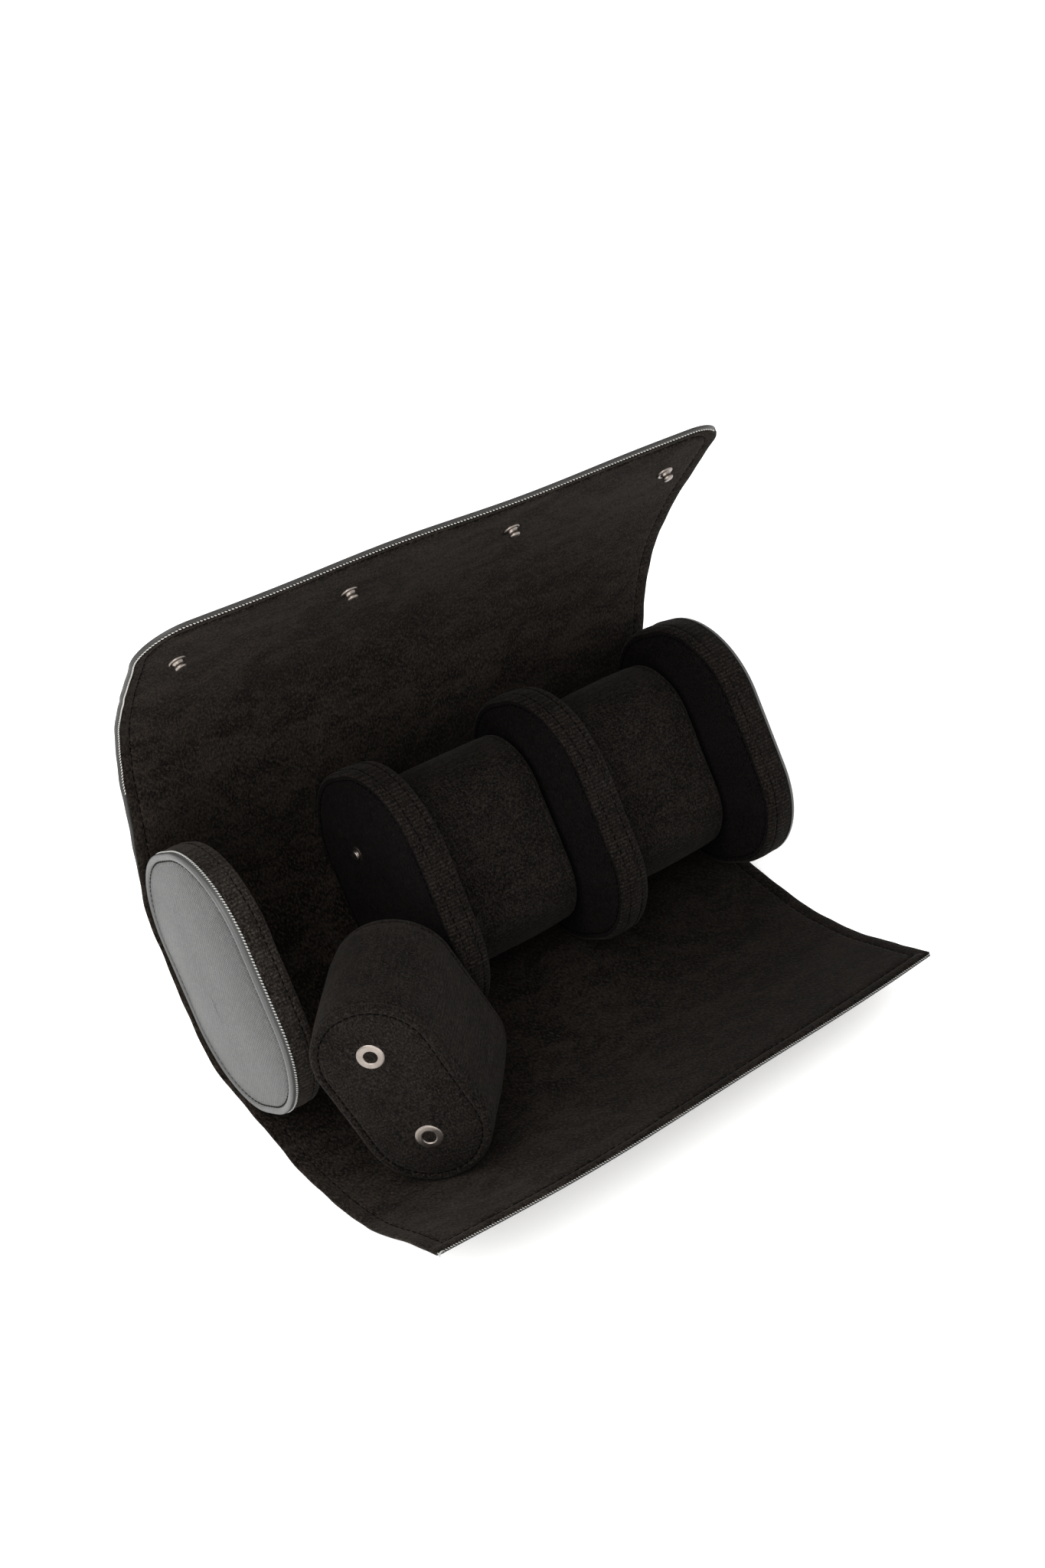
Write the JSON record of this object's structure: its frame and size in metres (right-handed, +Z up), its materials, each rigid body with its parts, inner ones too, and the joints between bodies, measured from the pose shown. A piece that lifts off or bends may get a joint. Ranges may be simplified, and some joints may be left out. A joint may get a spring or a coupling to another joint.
{
  "type": "watch roll",
  "caption": "Soft travel roll for watches, standing open, with padded walls, press-stud cushions, a curling back flap and a front panel.",
  "frame": {"origin": "middle of the open roll on the surface it stands on", "axes": "+X along the roll towards its right-hand end, +Y towards the back flap, +Z up"},
  "size_m": [0.215, 0.177, 0.19],
  "materials": {
    "grey_leather": "satin",
    "black_suede": "matte",
    "dark_foam": "matte",
    "nickel": "polished"
  },
  "bodies": {
    "root": {"spine_leather": "grey_leather", "spine_lining": "black_suede", "left_cap_leather": "grey_leather", "left_cap_band": "black_suede", "left_cap_padded_board": "black_suede", "right_cap_leather": "grey_leather", "right_cap_band": "black_suede", "right_cap_padded_board": "black_suede", "divider_1_band": "black_suede", "divider_1_padded_board": "black_suede", "divider_2_band": "black_suede", "divider_2_padded_board": "black_suede", "wall_stud_1": "nickel", "wall_stud_2": "nickel", "wall_stud_3": "nickel", "wall_stud_4": "nickel", "wall_stud_5": "nickel", "wall_stud_6": "nickel"},
    "back_flap_1": {"back_flap_1_leather": "grey_leather", "back_flap_1_lining": "black_suede"},
    "back_flap_2": {"back_flap_2_leather": "grey_leather", "back_flap_2_lining": "black_suede"},
    "back_flap_3": {"back_flap_3_leather": "grey_leather", "back_flap_3_lining": "black_suede"},
    "back_flap_4": {"back_flap_4_leather": "grey_leather", "back_flap_4_lining": "black_suede"},
    "back_flap_5": {"back_flap_5_leather": "grey_leather", "back_flap_5_lining": "black_suede", "flap_stud_1": "nickel", "flap_stud_2": "nickel", "flap_stud_3": "nickel", "flap_stud_4": "nickel"},
    "front_panel_1": {"front_panel_1_leather": "grey_leather", "front_panel_1_lining": "black_suede"},
    "front_panel_2": {"front_panel_2_leather": "grey_leather", "front_panel_2_lining": "black_suede", "panel_socket_1": "nickel", "panel_socket_2": "nickel", "panel_socket_3": "nickel", "panel_socket_4": "nickel"},
    "front_panel_3": {"front_panel_3_leather": "grey_leather", "front_panel_3_lining": "black_suede"},
    "cushion_1": {"cushion_1_cover": "black_suede", "cushion_1_foam": "dark_foam", "cushion_1_left_end": "black_suede", "cushion_1_right_end": "black_suede", "cushion_1_socket_1": "nickel", "cushion_1_socket_2": "nickel"},
    "cushion_2": {"cushion_2_cover": "black_suede", "cushion_2_foam": "dark_foam", "cushion_2_left_end": "black_suede", "cushion_2_right_end": "black_suede", "cushion_2_socket_1": "nickel", "cushion_2_socket_2": "nickel"},
    "cushion_3": {"cushion_3_cover": "black_suede", "cushion_3_foam": "dark_foam", "cushion_3_left_end": "black_suede", "cushion_3_right_end": "black_suede", "cushion_3_socket_1": "nickel", "cushion_3_socket_2": "nickel"}
  },
  "joints": [
    {"name": "back_flap_close", "type": "hinge", "parent": "root", "child": "back_flap_1", "pos_m": [0, 0.08561, 0.06261], "axis": [1, 0, 0], "range_deg": [-8, 17]},
    {"name": "back_flap_curl_2", "type": "hinge", "parent": "back_flap_1", "child": "back_flap_2", "pos_m": [0, 0.08561, 0.08161], "axis": [1, 0, 0], "range_deg": [-8, 17]},
    {"name": "back_flap_curl_3", "type": "hinge", "parent": "back_flap_2", "child": "back_flap_3", "pos_m": [0, 0.08428, 0.10057], "axis": [1, 0, 0], "range_deg": [-8, 17]},
    {"name": "back_flap_curl_4", "type": "hinge", "parent": "back_flap_3", "child": "back_flap_4", "pos_m": [0, 0.08033, 0.11915], "axis": [1, 0, 0], "range_deg": [-8, 17]},
    {"name": "back_flap_curl_5", "type": "hinge", "parent": "back_flap_4", "child": "back_flap_5", "pos_m": [0, 0.07352, 0.13689], "axis": [1, 0, 0], "range_deg": [-8, 17]},
    {"name": "front_panel_lift", "type": "hinge", "parent": "root", "child": "front_panel_1", "pos_m": [0, -0.00904, 0.0029], "axis": [-1, 0, 0], "range_deg": [-11, 0]},
    {"name": "front_panel_curl_2", "type": "hinge", "parent": "front_panel_1", "child": "front_panel_2", "pos_m": [0, -0.03427, 0.00919], "axis": [-1, 0, 0], "range_deg": [-11, 0]},
    {"name": "front_panel_curl_3", "type": "hinge", "parent": "front_panel_2", "child": "front_panel_3", "pos_m": [0, -0.05783, 0.02018], "axis": [-1, 0, 0], "range_deg": [-11, 0]},
    {"name": "cushion_1_put_down", "type": "slide", "parent": "root", "child": "cushion_1", "axis": [0, 0.6, -0.8], "range_m": [-0.12, 0]},
    {"name": "cushion_2_seat", "type": "slide", "parent": "root", "child": "cushion_2", "axis": [0, 0.7826, -0.6225], "range_m": [-0.07, 0]},
    {"name": "cushion_3_seat", "type": "slide", "parent": "root", "child": "cushion_3", "axis": [0, 0.7826, -0.6225], "range_m": [-0.07, 0]}
  ],
  "couplings": [
    {"joint": "back_flap_curl_2", "follows": "back_flap_close", "ratio": 1},
    {"joint": "back_flap_curl_3", "follows": "back_flap_close", "ratio": 1},
    {"joint": "back_flap_curl_4", "follows": "back_flap_close", "ratio": 1},
    {"joint": "back_flap_curl_5", "follows": "back_flap_close", "ratio": 1},
    {"joint": "front_panel_curl_2", "follows": "front_panel_lift", "ratio": 1},
    {"joint": "front_panel_curl_3", "follows": "front_panel_lift", "ratio": 1}
  ]
}
